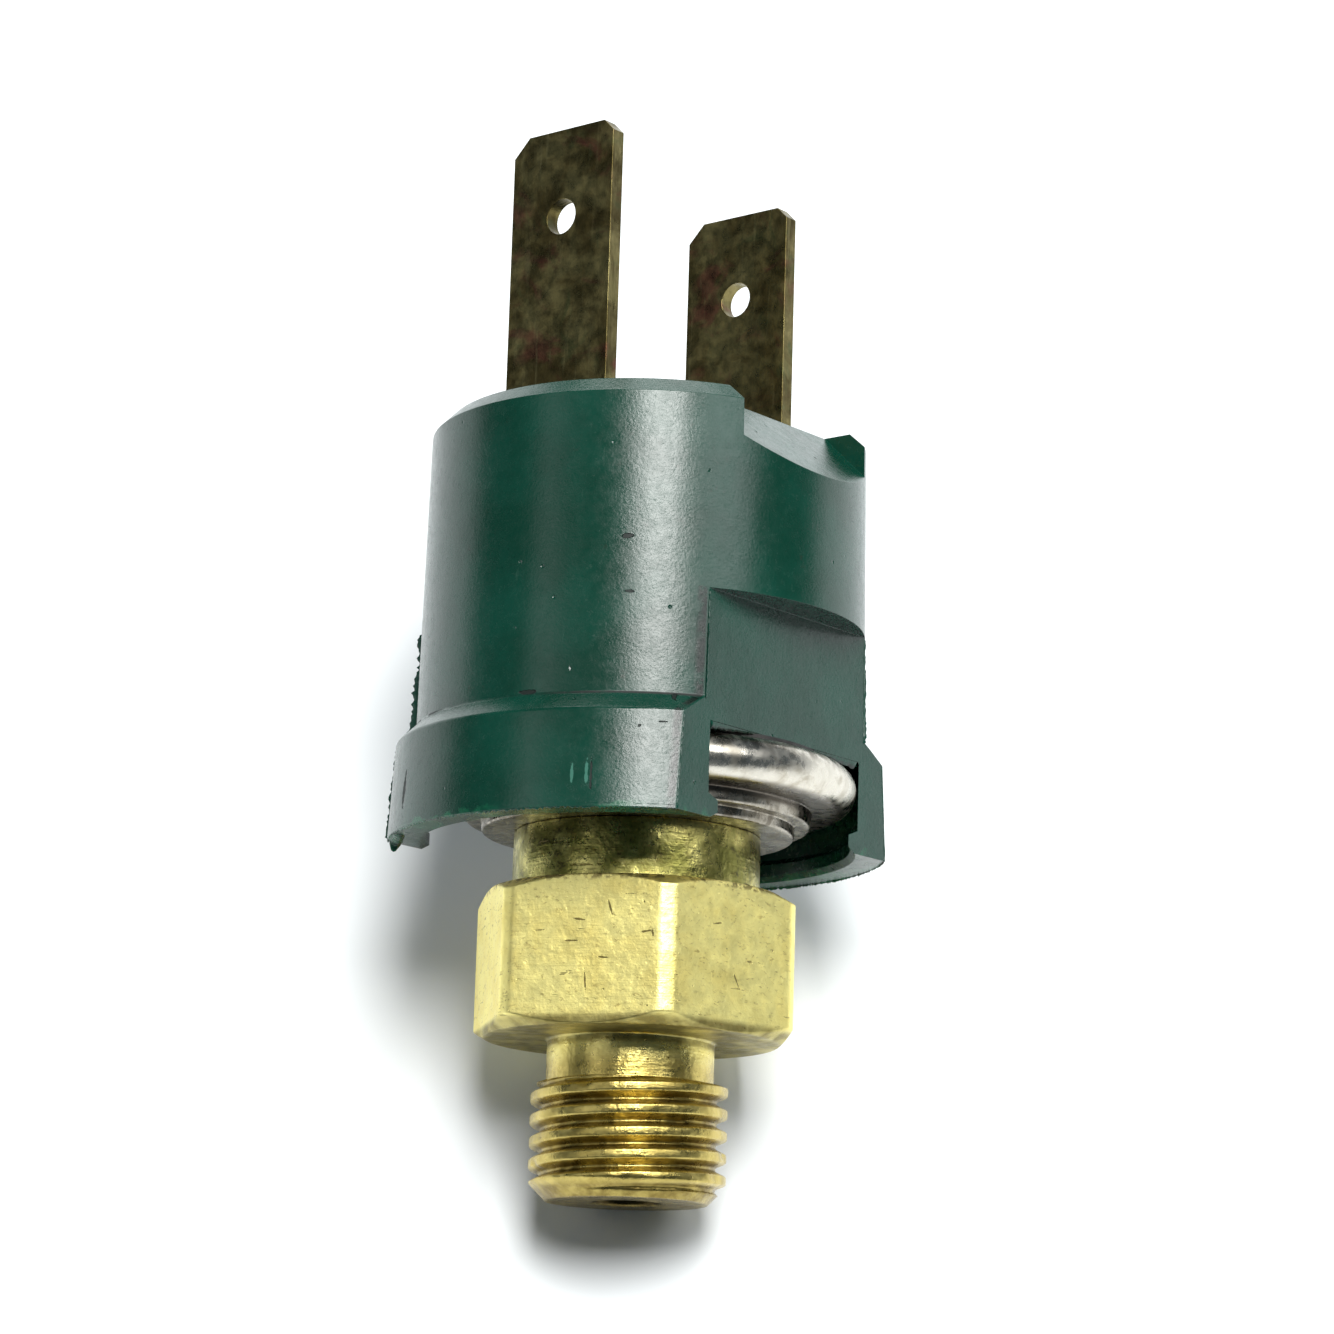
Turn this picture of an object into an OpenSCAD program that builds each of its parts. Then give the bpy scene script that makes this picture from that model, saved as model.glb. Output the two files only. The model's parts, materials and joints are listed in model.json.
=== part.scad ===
// Pressure switch with a screw-in brass port and two 6.3 mm blade terminals.
// Millimetres, +Z up. The origin is on the axis, on the seat face under the hexagon.
// The blades' width lies along X, and their faces look along Y.

/* [Port fitting] */
// Major diameter of the male thread, 3/8-24
thread_d = 9.525; // [8:0.005:12]
// Pitch of the thread
thread_pitch = 1.058; // [0.8:0.001:1.5]
// Depth of one thread groove
thread_depth = 0.62; // [0.3:0.01:0.7]
// Length of the threaded shank, from its end to the relief neck
thread_len = 5.7; // [4:0.05:12]
// Length of the chamfer at the end of the thread
thread_lead = 0.85; // [0.4:0.05:1.2]
// Depth that the relief neck is cut below the thread's major radius
relief_cut = 0.71; // [0.65:0.01:1.2]
// Length of the relief neck
relief_len = 2.05; // [2:0.01:4]
// Diameter of the pressure port
port_d = 3.2; // [2:0.1:4.5]
// Hexagon size across its flats, 9/16 inch
hex_af = 14.29; // [13:0.01:19]
// How far the hexagon's corners are turned down from sharp
hex_corner_cut = 0.2; // [0.1:0.05:1]
// Height of the hexagon
hex_h = 7.1; // [5:0.05:12]
// Turn of the hexagon about the axis
hex_turn = 20.6; // [0:0.1:60]
// Diameter of the collar above the hexagon
collar_d = 12.05; // [10:0.05:14]
// Height of the collar
collar_h = 2.95; // [2:0.05:6]
// Diameter of the stake that holds the capsule on the fitting
stake_d = 6.4; // [5.2:0.1:8]
// How far the stake's head is flared out past the stake
stake_flare = 0.8; // [0.4:0.05:1.4]
// Height of the stake's flared head
stake_head_h = 0.5; // [0.3:0.05:0.6]

/* [Steel capsule] */
// Outside diameter of the crimped bead
bead_d = 21.3; // [19.6:0.1:24]
// Sheet thickness of the cup
cup_t = 0.45; // [0.3:0.05:0.6]
// How far the cup's shoulder stands in from the middle of the bead
cup_flange_len = 1.075; // [0.8:0.025:1.6]
// How far the cup's lowest step stands in from its shoulder
cup_step_in = 0.8; // [0.5:0.05:1.2]
// Height of the cup's lowest step
cup_foot_h = 0.55; // [0.5:0.05:1]
// Height of the cup's shoulder
cup_shoulder_h = 0.75; // [0.5:0.05:1.5]
// Thickness of the lip that is rolled over the disc support
lip_t = 0.5; // [0.3:0.05:0.8]
// How far the lip reaches in from the middle of the bead
lip_reach = 0.675; // [0.5:0.025:0.9]
// Thickness of the crimped wall at the bead's widest place
bead_wall = 0.65; // [0.5:0.05:0.9]
// Section diameter of the seal ring
seal_section = 0.55; // [0.4:0.05:0.8]
// Thickness of the diaphragm film
diaphragm_t = 0.1; // [0.05:0.05:0.2]
// Thickness of the disc support's rim
support_rim_t = 0.65; // [0.5:0.05:1]
// Gap between the rolled lip and the disc support's raised hat
hat_gap = 0.8; // [0.2:0.05:1.2]
// Wall of the disc support's raised hat
hat_wall = 0.6; // [0.4:0.05:0.8]

/* [Snap disc] */
// Gap between the snap disc and the hat around it
disc_side_gap = 0.9; // [0.2:0.05:1.5]
// Thickness of the snap disc
disc_t = 0.3; // [0.2:0.05:0.5]
// Height of the snap disc's dome
disc_dome = 0.35; // [0.2:0.05:0.6]
// Distance that the disc's centre snaps through
snap_travel = 0.4; // [0.3:0.05:0.6]
// How much smaller than the snap disc the pressure pad is, in radius
pad_inset = 1.4; // [0.6:0.1:3]
// Thickness of the pressure pad
pad_t = 0.5; // [0.4:0.05:1]
// Diameter of the pressure pad's button
button_d = 2; // [1.5:0.1:3]
// Height of the pressure pad's button
button_h = 0.2; // [0.1:0.05:0.4]

/* [Switch base and contacts] */
// Diameter of the transfer pin
pin_d = 2; // [1.5:0.1:2.6]
// How far the transfer pin's head stands out past the pin
pin_head_out = 0.6; // [0.3:0.05:0.9]
// Thickness of the switch base's plate
base_t = 2; // [1.6:0.1:3]
// Height of the pin guide above the plate
guide_h = 0.5; // [0.2:0.05:0.6]
// Wall of the pin guide
guide_wall = 1.2; // [0.8:0.1:1.3]
// Thickness of the spring leaf
leaf_t = 0.25; // [0.15:0.05:0.4]
// Width of the spring leaf
leaf_w = 5; // [4.6:0.1:6]
// Width of the moving arm
arm_w = 3; // [2.4:0.1:5]
// Length of the arm terminal's foot, from its blade to the arm's bend line
arm_foot_len = 1.65; // [1.6:0.05:2]
// Wall of the post between its rivets and its face toward the arm
post_wall = 0.35; // [0.3:0.05:0.6]
// Room between the post and the arm's tip
arm_tip_room = 0.3; // [0.2:0.05:0.6]
// Diameter of the contact buttons
contact_d = 2.2; // [1.6:0.1:2.4]
// Height of each contact button
contact_h = 0.7; // [0.4:0.05:1]
// Diameter of the rivet shanks
rivet_d = 0.9; // [0.8:0.05:1.1]
// Diameter of the rivet heads
rivet_head_d = 1.7; // [1.4:0.1:1.8]
// Height of the rivet heads
rivet_head_h = 0.4; // [0.3:0.05:0.6]
// Distance between the two rivets of a pair
rivet_pitch = 3.2; // [2.8:0.1:3.4]
// Thickness of the clamp plate over the leaf
clamp_t = 0.4; // [0.3:0.05:0.8]

/* [Terminals] */
// Width of a blade
blade_w = 6.35; // [5.8:0.01:6.8]
// Thickness of a blade
blade_t = 0.81; // [0.5:0.01:1]
// Distance between the middles of the two blades
blade_spacing = 13.35; // [12.6:0.01:14]
// How far each blade stands off the axis along X, in opposite directions
blade_shift = 0.28; // [0:0.01:0.4]
// Length of the arm terminal's blade above the housing
arm_blade_out = 14; // [8:0.05:18]
// Length of the contact terminal's blade above the housing
contact_blade_out = 13.15; // [8:0.05:18]
// Diameter of the hole in a blade
blade_hole_d = 1.8; // [1.2:0.1:2.4]
// Distance from a blade's tip to its hole
blade_hole_drop = 4.5; // [3:0.05:6]
// Larger corner cut at a blade's tip
blade_corner_a = 0.95; // [0.3:0.05:1.5]
// Smaller corner cut at a blade's tip
blade_corner_b = 0.6; // [0.3:0.05:1.5]
// Width of the contact terminal's foot
foot_w = 4.8; // [4.4:0.1:6]

/* [Housing] */
// Height of the housing's lower edge above the seat face
skirt_z = 9.35; // [8:0.05:10.4]
// Height of the housing's top above the seat face
housing_top = 30.45; // [28:0.05:40]
// Wall of the skirt just under its chamfer
skirt_wall = 1.2; // [1:0.05:2]
// How much wider in radius the skirt is at its lower edge
skirt_flare = 0.25; // [0:0.05:0.5]
// How far the skirt stands out past the body
skirt_step = 0.95; // [0.2:0.05:1.1]
// How much the body's radius drops from the skirt to its top
body_draft = 0.2; // [0:0.05:0.9]
// Height of the skirt's chamfer
skirt_step_h = 0.9; // [0.5:0.05:1.5]
// Height above the seat face where the skirt ends
skirt_step_z = 14.95; // [14.4:0.05:18]
// Chamfer around the housing's top
top_chamfer = 0.8; // [0.3:0.05:1.2]
// Wall between the cavity and the middle of a flat
flat_wall = 0.85; // [0.6:0.05:1]
// Height above the seat face where the flats end in a ledge
ledge_z = 20.2; // [18:0.05:26]
// Radial gap between the skirt and the bead
bead_gap = 0.1; // [0.05:0.01:0.4]
// Radial grip of the snap lip under the bead
snap_grip = 0.28; // [0.1:0.01:0.4]
// Thickness of the snap lip
snap_lip_h = 1.15; // [0.6:0.05:1.6]
// Thickness of the gasket between the capsule and the housing
gasket_t = 0.3; // [0.2:0.05:0.6]
// Width of the gasket
gasket_w = 0.4; // [0.3:0.05:0.6]
// Width of the key notch
notch_w = 10.1; // [6:0.1:12]
// Sideways place of the key notch's middle
notch_y = 0.25; // [-2:0.05:2]
// Distance from the axis to the key notch's upper edge
notch_x = 6.9; // [5.6:0.1:8]
// Slope of the key notch, in degrees below level
notch_slope = 43; // [20:1:60]
// Depth of the potting recess in the housing's top
recess_depth = 3.2; // [2:0.1:6]
// Distance from a blade to the recess's edge
recess_margin = 0.8; // [0.5:0.1:1]
// Corner radius of the potting recess
recess_corner = 1; // [0.4:0.1:1.5]
// Drop from the housing's top to the potting
potting_drop = 0.4; // [0.2:0.1:1]

/* [Clearances] */
// Radial clearance of the transfer pin in its guide
pin_clearance = 0.04; // [0.02:0.01:0.09]
// Small gap between pieces that press on each other when they move
touch_gap = 0.05; // [0.03:0.01:0.08]
// Clearance between a blade and its slot
slot_clearance = 0.05; // [0.02:0.01:0.15]
// Clearance of an inner piece in the bore that it drops into
drop_in_clearance = 0.1; // [0.05:0.01:0.2]
// Space left between the contacts when the disc has snapped
closed_gap = 0.02; // [0.01:0.01:0.1]

/* [Hidden] */
$fn = 96;
over = 1; // how far a cutting tool runs past the face that it cuts

// contacts along Y
blade_y = blade_spacing / 2;
lever_len = blade_y - blade_t / 2 - arm_foot_len - touch_gap;
post_rivet_y = blade_y - blade_t / 2 - rivet_head_d / 2 - touch_gap;
post_start = post_rivet_y - rivet_d / 2 - post_wall;
contact_reach = post_start - arm_tip_room - contact_d / 2;
contact_gap = snap_travel * (lever_len + contact_reach) / lever_len + closed_gap;
foot_start = contact_reach - contact_d / 2 - post_wall;
arm_foot_end = -lever_len - touch_gap;
arm_rivet_y = arm_foot_end - arm_foot_len / 2;
leaf_start = arm_foot_end - arm_foot_len + touch_gap;

// heights, from the seat face up
thread_end_z = -relief_len - thread_len;
cup_z = hex_h + collar_h;
flange_z = cup_z + cup_foot_h + cup_shoulder_h;
flange_top = flange_z + cup_t;
diaphragm_z = flange_top + seal_section;
support_z = diaphragm_z + diaphragm_t;
lip_z = support_z + support_rim_t;
bead_top = lip_z + lip_t;
disc_z = support_z + pad_t + button_h;
pin_z = disc_z + disc_t + touch_gap;
hat_z = disc_z + disc_t + disc_dome + snap_travel + touch_gap;
base_z = hat_z + hat_wall;
base_top = base_z + base_t;
leaf_z = base_top + blade_t;
pin_top = leaf_z - touch_gap;
fixed_z = leaf_z + leaf_t + contact_h + contact_gap;
foot_z = fixed_z + contact_h;
foot_top = foot_z + blade_t;
ceiling_z = foot_top + rivet_head_h + drop_in_clearance;
shoulder_z = bead_top + gasket_t;
recess_z = housing_top - recess_depth;
stake_top = cup_z + cup_t + stake_head_h;
tail_top = base_z + rivet_head_h + drop_in_clearance;

// radii
thread_r = thread_d / 2;
relief_r = thread_r - relief_cut;
bead_r = (bead_top - flange_z) / 2;
bead_centre = bead_d / 2 - bead_r;
channel_r = bead_d / 2 - bead_wall;
shoulder_r = bead_centre - cup_flange_len;
foot_r = shoulder_r - cup_step_in;
lip_inner_r = bead_centre - lip_reach;
hat_r = lip_inner_r - hat_gap;
disc_r = hat_r - hat_wall - disc_side_gap;
terminal_r = norm([blade_w / 2 + blade_shift, blade_y + blade_t / 2]);
base_r = max(hat_r, terminal_r);
cavity_r = base_r + drop_in_clearance;
flat_x = cavity_r + flat_wall;
skirt_inner_r = bead_d / 2 + bead_gap;
snap_lip_r = bead_d / 2 - snap_grip;
skirt_top_r = skirt_inner_r + skirt_wall;
skirt_low_r = skirt_top_r + skirt_flare;
body_low_r = skirt_top_r - skirt_step;
body_top_r = body_low_r - body_draft;
rivet_r = rivet_d / 2;
chamfer_angle = 30; // below level, on the hexagon's corners
hex_corner_r = hex_af / sqrt(3) - hex_corner_cut;
corner_drop = (hex_corner_r - hex_af / 2) * tan(chamfer_angle);

// A round bar between two heights
module bar(r, z0, z1) {
    translate([0, 0, z0]) cylinder(r = r, h = z1 - z0);
}

// A ring between two radii and two heights
module ring(r_in, r_out, z0, z1) {
    translate([0, 0, z0]) difference() {
        cylinder(r = r_out, h = z1 - z0);
        translate([0, 0, -over]) cylinder(r = r_in, h = z1 - z0 + 2 * over);
    }
}

// A block centred on the place x, between two places along Y and two heights
module block(w, y0, y1, z0, z1, x = 0) {
    translate([x - w / 2, y0, z0]) cube([w, y1 - y0, z1 - z0]);
}

// Places a child at each rivet of the pair at y
module rivet_pair(y) {
    for (side = [-1, 1]) translate([side * rivet_pitch / 2, y, 0]) children();
}

// A rivet with a head on top and a tail below, on a shank that runs through both
module rivet(z_tail, z_grip_low, z_grip_top) {
    bar(rivet_r, z_tail, z_grip_top + rivet_head_h);
    bar(rivet_head_d / 2, z_grip_top, z_grip_top + rivet_head_h);
    bar(rivet_head_d / 2, z_tail, z_grip_low);
}

// Outline of the threaded shank: a chamfered end, then a row of V grooves
module thread_outline() {
    crest = thread_pitch / 8;
    grooves = floor((thread_len - thread_lead) / thread_pitch);
    first = thread_end_z + thread_lead;
    polygon(concat(
        [[port_d / 2, thread_end_z], [thread_r - thread_lead, thread_end_z], [thread_r, first]],
        [for (i = [0 : grooves - 1], p = [0 : 3])
            let (z = first + i * thread_pitch)
            p == 0 ? [thread_r, z + crest] :
            p == 1 ? [thread_r - thread_depth, z + (thread_pitch + crest) / 2 - crest / 4] :
            p == 2 ? [thread_r - thread_depth, z + (thread_pitch + crest) / 2 + crest / 4] :
            [thread_r, z + thread_pitch]],
        [[thread_r, -relief_len - crest], [thread_r - crest, -relief_len], [port_d / 2, -relief_len]]));
}

// Brass fitting: thread, relief neck, hexagon, collar and flared stake round one bore
module port_fitting() {
    color([0.80, 0.68, 0.30]) difference() {
        union() {
            rotate_extrude() thread_outline();
            bar(relief_r, -relief_len, 0);
            intersection() {
                rotate([0, 0, hex_turn]) cylinder(r = hex_af / sqrt(3), h = hex_h, $fn = 6);
                rotate_extrude() polygon([[0, 0], [hex_af / 2, 0], [hex_corner_r, corner_drop],
                    [hex_corner_r, hex_h - corner_drop], [hex_af / 2, hex_h], [0, hex_h]]);
            }
            bar(collar_d / 2, hex_h, cup_z);
            bar(stake_d / 2, cup_z, cup_z + cup_t);
            bar(stake_d / 2 + stake_flare, cup_z + cup_t, stake_top);
        }
        bar(port_d / 2, thread_end_z - over, stake_top + over);
    }
}

// Steel cup: two steps, a flange, and a rim rolled over the disc support as a round bead
module capsule_cup() {
    step_z = cup_z + cup_foot_h;
    bend = cup_t / 2;
    color([0.78, 0.76, 0.73]) rotate_extrude() union() {
        polygon([[stake_d / 2, cup_z], [foot_r - bend, cup_z], [foot_r, cup_z + bend], [foot_r, step_z],
            [shoulder_r - bend, step_z], [shoulder_r, step_z + bend], [shoulder_r, flange_z],
            [bead_centre, flange_z], [bead_centre, flange_top], [shoulder_r - cup_t, flange_top],
            [shoulder_r - cup_t, step_z + cup_t], [foot_r - cup_t, step_z + cup_t],
            [foot_r - cup_t, cup_z + cup_t], [stake_d / 2, cup_z + cup_t]]);
        difference() {
            translate([bead_centre, flange_z + bead_r]) circle(r = bead_r);
            translate([0, flange_z - over]) square([bead_centre, 2 * bead_r + 2 * over]);
            translate([0, flange_top]) square([channel_r, lip_z - flange_top]);
        }
        translate([lip_inner_r, lip_z]) square([lip_reach, lip_t]);
    }
}

// Seal ring of round section between the flange and the diaphragm
module seal_ring() {
    color([0.07, 0.07, 0.07]) rotate_extrude()
        translate([channel_r - touch_gap - seal_section / 2, flange_top + seal_section / 2])
            circle(d = seal_section, $fn = 32);
}

// Thin film that closes the pressure side
module diaphragm() {
    color([0.80, 0.50, 0.12]) bar(channel_r - touch_gap, diaphragm_z, support_z);
}

// Pad that carries the film's force to the middle of the snap disc
module pressure_pad() {
    color([0.72, 0.72, 0.70]) union() {
        bar(disc_r - pad_inset, support_z, support_z + pad_t);
        bar(button_d / 2, support_z + pad_t, disc_z);
    }
}

// Domed snap disc, low in the middle: the space between two equal spheres, cut round
module snap_disc() {
    curve_r = (disc_r * disc_r + disc_dome * disc_dome) / (2 * disc_dome);
    color([0.70, 0.70, 0.68]) rotate_extrude() intersection() {
        square([disc_r, disc_z + disc_t + disc_dome]);
        difference() {
            translate([0, disc_z + curve_r]) circle(r = curve_r, $fn = 720);
            translate([0, disc_z + disc_t + curve_r]) circle(r = curve_r, $fn = 720);
        }
    }
}

// Steel disc support: a rim under the rolled lip and a raised hat over the snap disc
module disc_support() {
    color([0.66, 0.66, 0.64]) difference() {
        union() {
            bar(channel_r - touch_gap, support_z, lip_z);
            bar(hat_r, support_z, base_z);
        }
        bar(hat_r - hat_wall, support_z - over, hat_z);
        bar(pin_d / 2 + drop_in_clearance, hat_z - over, base_z + over);
    }
}

// Flat gasket that the housing's shoulder presses on the rolled lip
module capsule_gasket() {
    color([0.10, 0.10, 0.10]) ring(lip_inner_r, lip_inner_r + gasket_w, bead_top, shoulder_z);
}

// Moulded base: a plate with a pin guide, rivet holes and a post for the fixed contact's terminal
module switch_base() {
    color([0.16, 0.14, 0.13]) difference() {
        union() {
            bar(base_r, base_z, base_top);
            bar(pin_d / 2 + guide_wall, base_top, base_top + guide_h);
            block(leaf_w, post_start, blade_y + blade_t / 2, base_top, foot_z);
        }
        bar(pin_d / 2 + pin_clearance, base_z - over, base_top + guide_h + over);
        rivet_pair(arm_rivet_y) bar(rivet_r, base_z - over, base_top + over);
        rivet_pair(post_rivet_y) bar(rivet_r, base_z - over, foot_z + over);
        for (y = [arm_rivet_y, post_rivet_y])
            rivet_pair(y) bar(rivet_head_d / 2 + touch_gap, base_z - over, tail_top);
    }
}

// Ceramic pin that lifts the contact arm when the disc snaps
module transfer_pin() {
    tip_h = pin_d / 4;
    color([0.92, 0.90, 0.84]) union() {
        bar(pin_d / 2 + pin_head_out, pin_z, pin_z + disc_dome - touch_gap);
        bar(pin_d / 2, pin_z, pin_top - tip_h);
        translate([0, 0, pin_top - tip_h]) cylinder(r1 = pin_d / 2, r2 = pin_d / 4, h = tip_h);
    }
}

// The blade on one side of the axis, from z0 up to its tip, with two corner cuts and a hole
module blade(side, z0, z_tip) {
    half = blade_w / 2;
    translate([side * blade_shift, side * blade_y + blade_t / 2, 0]) rotate([90, 0, 0]) difference() {
        linear_extrude(height = blade_t)
            polygon([[-half, z0], [half, z0], [half, z_tip - blade_corner_b],
                [half - blade_corner_b, z_tip], [blade_corner_a - half, z_tip],
                [-half, z_tip - blade_corner_a]]);
        translate([0, z_tip - blade_hole_drop, -over]) cylinder(d = blade_hole_d, h = blade_t + 2 * over);
    }
}

// Terminal of the moving arm: a blade and a foot that lies on the base
module arm_terminal() {
    color([0.42, 0.38, 0.22]) difference() {
        union() {
            blade(-1, base_top, housing_top + arm_blade_out);
            block(blade_w, -blade_y - blade_t / 2, arm_foot_end, base_top, leaf_z, -blade_shift);
        }
        rivet_pair(arm_rivet_y) bar(rivet_r, base_top - over, leaf_z + over);
    }
}

// Terminal of the fixed contact: a blade and a foot that lies on the base's post
module contact_terminal() {
    color([0.42, 0.38, 0.22]) difference() {
        union() {
            blade(1, foot_z, housing_top + contact_blade_out);
            block(foot_w, foot_start, blade_y, foot_z, foot_top);
        }
        rivet_pair(post_rivet_y) bar(rivet_r, foot_z - over, foot_top + over);
        translate([0, contact_reach, 0]) bar(contact_d / 4, foot_z - over, foot_top + over);
    }
}

// Clamped end of the spring leaf, on the arm terminal's foot
module arm_root() {
    color([0.72, 0.52, 0.30]) difference() {
        block(leaf_w, leaf_start, arm_foot_end, leaf_z, leaf_z + leaf_t);
        rivet_pair(arm_rivet_y) bar(rivet_r, leaf_z - over, leaf_z + leaf_t + over);
    }
}

// Free length of the spring leaf, which swings about its bend line
module contact_arm() {
    tip = contact_reach + contact_d / 2;
    color([0.72, 0.52, 0.30]) difference() {
        union() {
            block(arm_w, -lever_len, contact_reach, leaf_z, leaf_z + leaf_t);
            translate([0, tip - arm_w / 2, 0]) bar(arm_w / 2, leaf_z, leaf_z + leaf_t);
        }
        translate([0, contact_reach, 0]) bar(contact_d / 4, leaf_z - over, leaf_z + leaf_t + over);
    }
}

// Silver contact riveted in the arm, with a crown that is part of a sphere
module moving_contact() {
    r = contact_d / 2;
    crown_h = contact_h / 2;
    crown_r = (r * r + crown_h * crown_h) / (2 * crown_h);
    button_z = leaf_z + leaf_t;
    color([0.85, 0.85, 0.84]) translate([0, contact_reach, 0]) union() {
        bar(r / 2, leaf_z, button_z);
        bar(r * 2 / 3, leaf_z - leaf_t, leaf_z);
        rotate_extrude() intersection() {
            translate([0, button_z]) square([r, contact_h]);
            translate([0, button_z + contact_h - crown_r]) circle(r = crown_r);
        }
    }
}

// Silver contact riveted in the fixed terminal's foot
module fixed_contact() {
    color([0.85, 0.85, 0.84]) translate([0, contact_reach, 0]) union() {
        bar(contact_d / 2, fixed_z, foot_z);
        bar(contact_d / 4, foot_z, foot_top);
        bar(contact_d / 3, foot_top, foot_top + leaf_t);
    }
}

// Plate that spreads the rivets' grip over the leaf
module clamp_plate() {
    color([0.60, 0.58, 0.52]) difference() {
        block(leaf_w, leaf_start, arm_foot_end, leaf_z + leaf_t, leaf_z + leaf_t + clamp_t);
        rivet_pair(arm_rivet_y) bar(rivet_r, leaf_z, leaf_z + leaf_t + clamp_t + over);
    }
}

// Two rivets through the clamp plate, the leaf, the arm terminal's foot and the base
module arm_rivets() {
    color([0.76, 0.64, 0.34]) rivet_pair(arm_rivet_y)
        rivet(tail_top - rivet_head_h, tail_top, leaf_z + leaf_t + clamp_t);
}

// Two rivets through the contact terminal's foot, the post and the base
module post_rivets() {
    color([0.76, 0.64, 0.34]) rivet_pair(post_rivet_y)
        rivet(tail_top - rivet_head_h, tail_top, foot_top);
}

// Outline of the potting recess, with round corners
module recess_outline() {
    x = blade_w + 2 * blade_shift + 2 * recess_margin - 2 * recess_corner;
    y = blade_spacing + blade_t + 2 * recess_margin - 2 * recess_corner;
    square([x + 2 * recess_corner, y], center = true);
    square([x, y + 2 * recess_corner], center = true);
    for (sx = [-1, 1], sy = [-1, 1]) translate([sx * x / 2, sy * y / 2]) circle(r = recess_corner, $fn = 32);
}

// Outline of the hollow inside the housing: snap lip, bead room, shoulder and cavity
module hollow_outline() {
    lip_top = skirt_z + snap_lip_h;
    polygon([[0, skirt_z - over], [snap_lip_r + snap_grip, skirt_z - over],
        [snap_lip_r + snap_grip, skirt_z], [snap_lip_r, skirt_z + snap_grip],
        [snap_lip_r, lip_top - snap_grip], [skirt_inner_r, lip_top], [skirt_inner_r, shoulder_z],
        [cavity_r, shoulder_z], [cavity_r, ceiling_z], [0, ceiling_z]]);
}

// Moulded housing: drafted body over a skirt, two flats under a ledge, and a sloped key notch
module housing() {
    color([0.10, 0.30, 0.22]) difference() {
        rotate_extrude() polygon([[0, skirt_z], [skirt_low_r, skirt_z],
            [skirt_top_r, skirt_step_z - skirt_step_h], [body_low_r, skirt_step_z],
            [body_top_r, housing_top - top_chamfer], [body_top_r - top_chamfer, housing_top],
            [0, housing_top]]);
        rotate_extrude() hollow_outline();
        for (side = [0, 180]) rotate([0, 0, side])
            translate([flat_x, -skirt_low_r, skirt_z - over])
                cube([skirt_low_r, 2 * skirt_low_r, ledge_z - skirt_z + over]);
        translate([notch_x, notch_y - notch_w / 2, housing_top]) rotate([0, notch_slope, 0])
            cube([2 * body_top_r, notch_w, 2 * body_top_r]);
        for (side = [-1, 1]) translate([side * blade_shift, side * blade_y, 0])
            block(blade_w + 2 * slot_clearance, -blade_t / 2 - slot_clearance,
                blade_t / 2 + slot_clearance, ceiling_z - over, recess_z + over);
        translate([0, 0, recess_z]) linear_extrude(height = recess_depth + over) recess_outline();
    }
}

// Epoxy that seals the blades in the housing's top
module terminal_potting() {
    color([0.06, 0.06, 0.06]) difference() {
        translate([0, 0, recess_z]) linear_extrude(height = recess_depth - potting_drop) recess_outline();
        for (side = [-1, 1]) translate([side * blade_shift, side * blade_y, 0])
            block(blade_w, -blade_t / 2, blade_t / 2, recess_z - over, housing_top);
    }
}

port_fitting();
capsule_cup();
seal_ring();
diaphragm();
pressure_pad();
snap_disc();
disc_support();
capsule_gasket();
switch_base();
transfer_pin();
arm_terminal();
contact_terminal();
arm_root();
contact_arm();
moving_contact();
fixed_contact();
clamp_plate();
arm_rivets();
post_rivets();
housing();
terminal_potting();
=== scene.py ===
"""Looks of the pressure switch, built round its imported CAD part.

Lengths are in millimetres. The axis is Z, the port points down, and the hexagon's underside is at z = 0.
"""
import json
import math

import bmesh
import bpy
import numpy as np
from mathutils import Matrix, Vector


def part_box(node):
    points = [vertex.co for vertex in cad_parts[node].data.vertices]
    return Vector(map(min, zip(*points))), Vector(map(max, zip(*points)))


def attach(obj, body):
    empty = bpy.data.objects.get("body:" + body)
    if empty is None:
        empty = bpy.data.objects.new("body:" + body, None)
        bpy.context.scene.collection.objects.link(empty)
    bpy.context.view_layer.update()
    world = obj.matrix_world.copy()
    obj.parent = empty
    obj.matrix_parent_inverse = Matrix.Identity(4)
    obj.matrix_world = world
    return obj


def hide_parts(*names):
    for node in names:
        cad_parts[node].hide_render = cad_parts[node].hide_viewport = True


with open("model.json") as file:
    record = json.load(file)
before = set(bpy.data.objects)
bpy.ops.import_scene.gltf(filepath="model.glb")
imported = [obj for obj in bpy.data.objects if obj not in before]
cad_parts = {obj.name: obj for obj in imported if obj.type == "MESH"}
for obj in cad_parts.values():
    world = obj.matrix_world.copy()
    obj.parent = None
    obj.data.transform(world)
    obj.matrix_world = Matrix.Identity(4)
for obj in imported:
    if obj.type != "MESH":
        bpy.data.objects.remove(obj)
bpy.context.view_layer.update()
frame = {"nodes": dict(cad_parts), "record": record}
NODES = frame["nodes"]
MM = 0.001
TAU = 2 * math.pi


def span(node):
    """Lowest and highest corner of a CAD node in millimetres."""
    low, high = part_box(node)
    return np.array(low) / MM, np.array(high) / MM


# ---------------------------------------------------------------- sizes that the pieces share
FIT_LOW, FIT_HIGH = span("port_fitting")
CUP_LOW, CUP_HIGH = span("capsule_cup")
SHELL_LOW, SHELL_HIGH = span("housing")
POT_LOW, POT_HIGH = span("terminal_potting")

# hexagon: size across its flats, height, turn about the axis, and what is cut off each corner
HEX_AF, HEX_H, HEX_TURN, HEX_CORNER_CUT = 14.29, 7.1, math.radians(20.6), 0.2

# thread: crest radius, pitch, groove depth, and length of the cone at its end; then the neck above it
THREAD_R, THREAD_PITCH, THREAD_DEPTH, THREAD_LEAD = 9.525 / 2, 1.058, 0.50, 0.85
NECK_R, NECK_LEN = THREAD_R - 0.71, 2.05

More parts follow.
